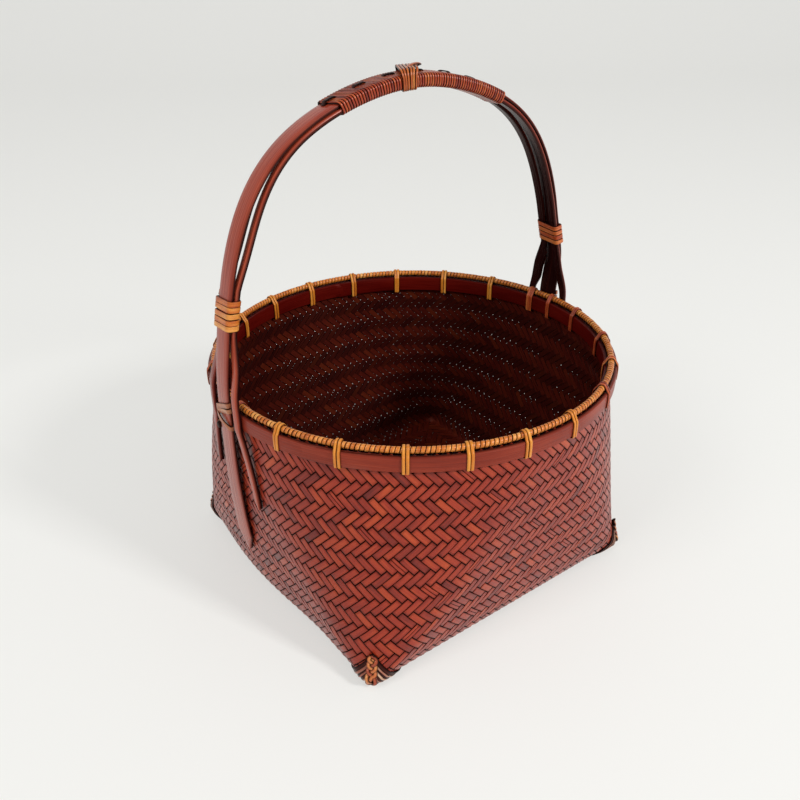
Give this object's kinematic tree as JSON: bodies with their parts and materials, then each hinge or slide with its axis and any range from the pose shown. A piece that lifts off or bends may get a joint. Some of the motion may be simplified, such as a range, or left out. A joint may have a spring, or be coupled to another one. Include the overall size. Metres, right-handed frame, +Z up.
{
  "type": "basket with handle",
  "caption": "Plaited bamboo basket with a square base, a round lashed rim and a fixed arched handle with a wound grip.",
  "frame": {"origin": "middle of the resting plane, under the middle of the mouth", "axes": "+Z up, the sides of the square base along X and Y, the handle's arch in the XZ plane"},
  "size_m": [0.2392, 0.2316, 0.2838],
  "materials": {
    "woven_bamboo": "lacquered twill of split bamboo",
    "hoop_bamboo": "satin lacquered bamboo hoop",
    "handle_bamboo": "glossy lacquered bamboo strip",
    "golden_cane": "satin cane",
    "red_cane": "satin stained cane",
    "dark_peg": "dark stained bamboo",
    "corner_cane": "satin plaited cane"
  },
  "bodies": {
    "root": {"corner_lashing_back": "corner_cane", "corner_lashing_front": "corner_cane", "corner_lashing_left": "corner_cane", "corner_lashing_right": "corner_cane", "grip_knot": "red_cane", "grip_knot_tail": "red_cane", "grip_runner": "red_cane", "grip_winding": "red_cane", "handle_centre_strip": "handle_bamboo", "handle_front_strip": "handle_bamboo", "handle_rear_strip": "handle_bamboo", "left_foot_lashing_front": "red_cane", "left_foot_lashing_rear": "red_cane", "left_foot_peg": "dark_peg", "left_foot_tie_a": "golden_cane", "left_foot_tie_b": "golden_cane", "left_leg_binding": "golden_cane", "right_foot_lashing_front": "red_cane", "right_foot_lashing_rear": "red_cane", "right_foot_tie_a": "golden_cane", "right_foot_tie_b": "golden_cane", "right_leg_binding": "red_cane", "rim_cap": "golden_cane", "rim_inner_hoop": "hoop_bamboo", "rim_lashing_01": "golden_cane", "rim_lashing_02": "golden_cane", "rim_lashing_03": "golden_cane", "rim_lashing_04": "golden_cane", "rim_lashing_05": "golden_cane", "rim_lashing_06": "golden_cane", "rim_lashing_07": "golden_cane", "rim_lashing_08": "golden_cane", "rim_lashing_09": "golden_cane", "rim_lashing_10": "golden_cane", "rim_lashing_11": "golden_cane", "rim_lashing_12": "golden_cane", "rim_lashing_13": "golden_cane", "rim_lashing_14": "golden_cane", "rim_lashing_15": "golden_cane", "rim_lashing_16": "golden_cane", "rim_lashing_17": "golden_cane", "rim_lashing_18": "golden_cane", "rim_lashing_19": "golden_cane", "rim_outer_hoop": "hoop_bamboo", "woven_body": "woven_bamboo"}
  },
  "joints": []
}
